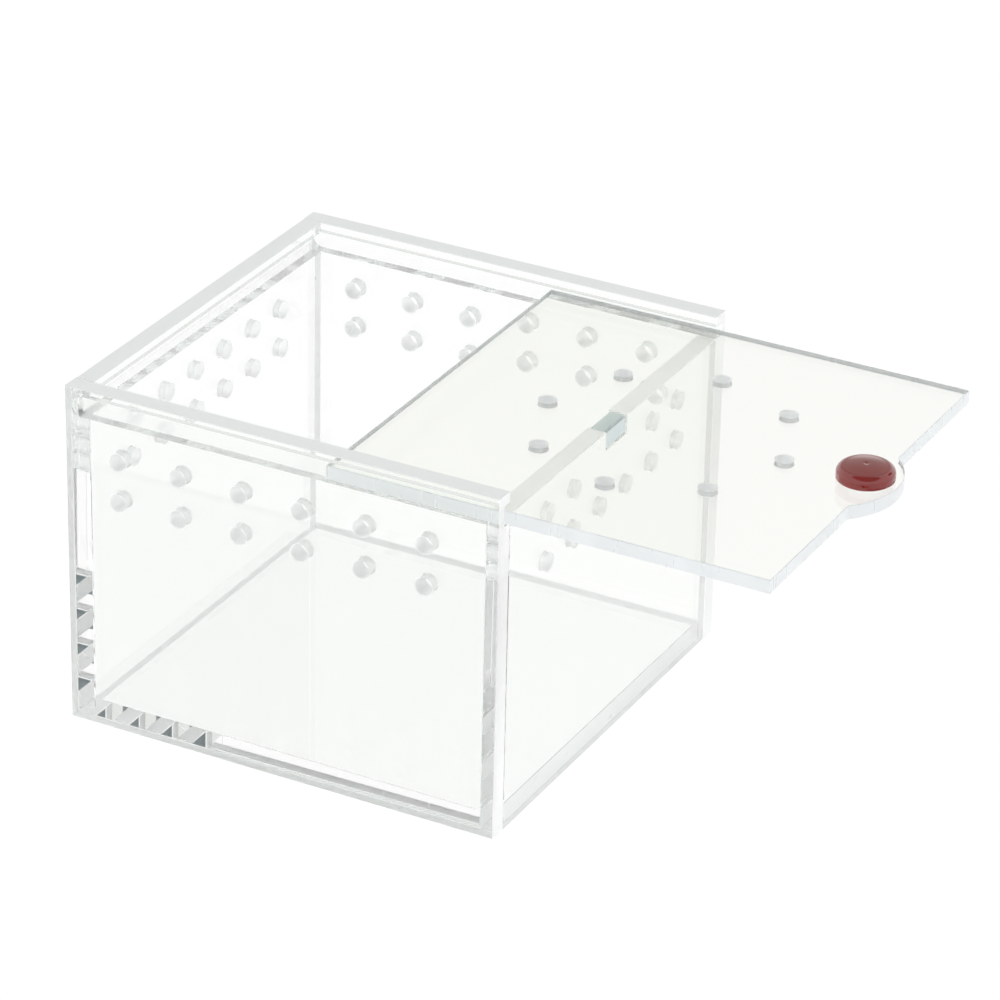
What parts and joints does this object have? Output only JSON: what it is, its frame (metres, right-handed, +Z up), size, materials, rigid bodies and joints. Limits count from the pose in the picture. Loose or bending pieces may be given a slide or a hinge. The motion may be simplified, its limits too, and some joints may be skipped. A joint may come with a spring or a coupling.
{
  "type": "queen cage",
  "caption": "Clear acrylic bee queen cage: a vented box glued from flat panels, with a vented lid that slides in grooves, a red knob and a magnetic catch.",
  "frame": {"origin": "centre of the base panel's underside, on the surface that the cage stands on", "axes": "+X is the way the lid slides open, +Z is up, and +Y is to the left of someone looking along +X"},
  "size_m": [0.1053, 0.0654, 0.0501],
  "materials": {
    "clear_acrylic": "clear cast acrylic sheet with polished faces, sawn edges and faint cement lines at the joints",
    "lid_acrylic": "clear acrylic sheet, very slightly warm in tint, with laser-cut edges",
    "red_plastic": "glossy deep red moulded plastic, slightly translucent",
    "nickel_plate": "nickel-plated magnet, satin bright"
  },
  "bodies": {
    "box": {"base_panel": "clear_acrylic", "left_side_panel": "clear_acrylic", "right_side_panel": "clear_acrylic", "rear_end_panel": "clear_acrylic", "front_end_panel": "clear_acrylic", "catch_magnet": "nickel_plate"},
    "lid": {"sliding_lid": "lid_acrylic", "knob_cap": "red_plastic", "knob_magnet": "nickel_plate"}
  },
  "joints": [
    {"name": "lid_slide", "type": "slide", "parent": "box", "child": "lid", "axis": [1, 0, 0], "range_m": [-0.0373, 0.02]}
  ]
}
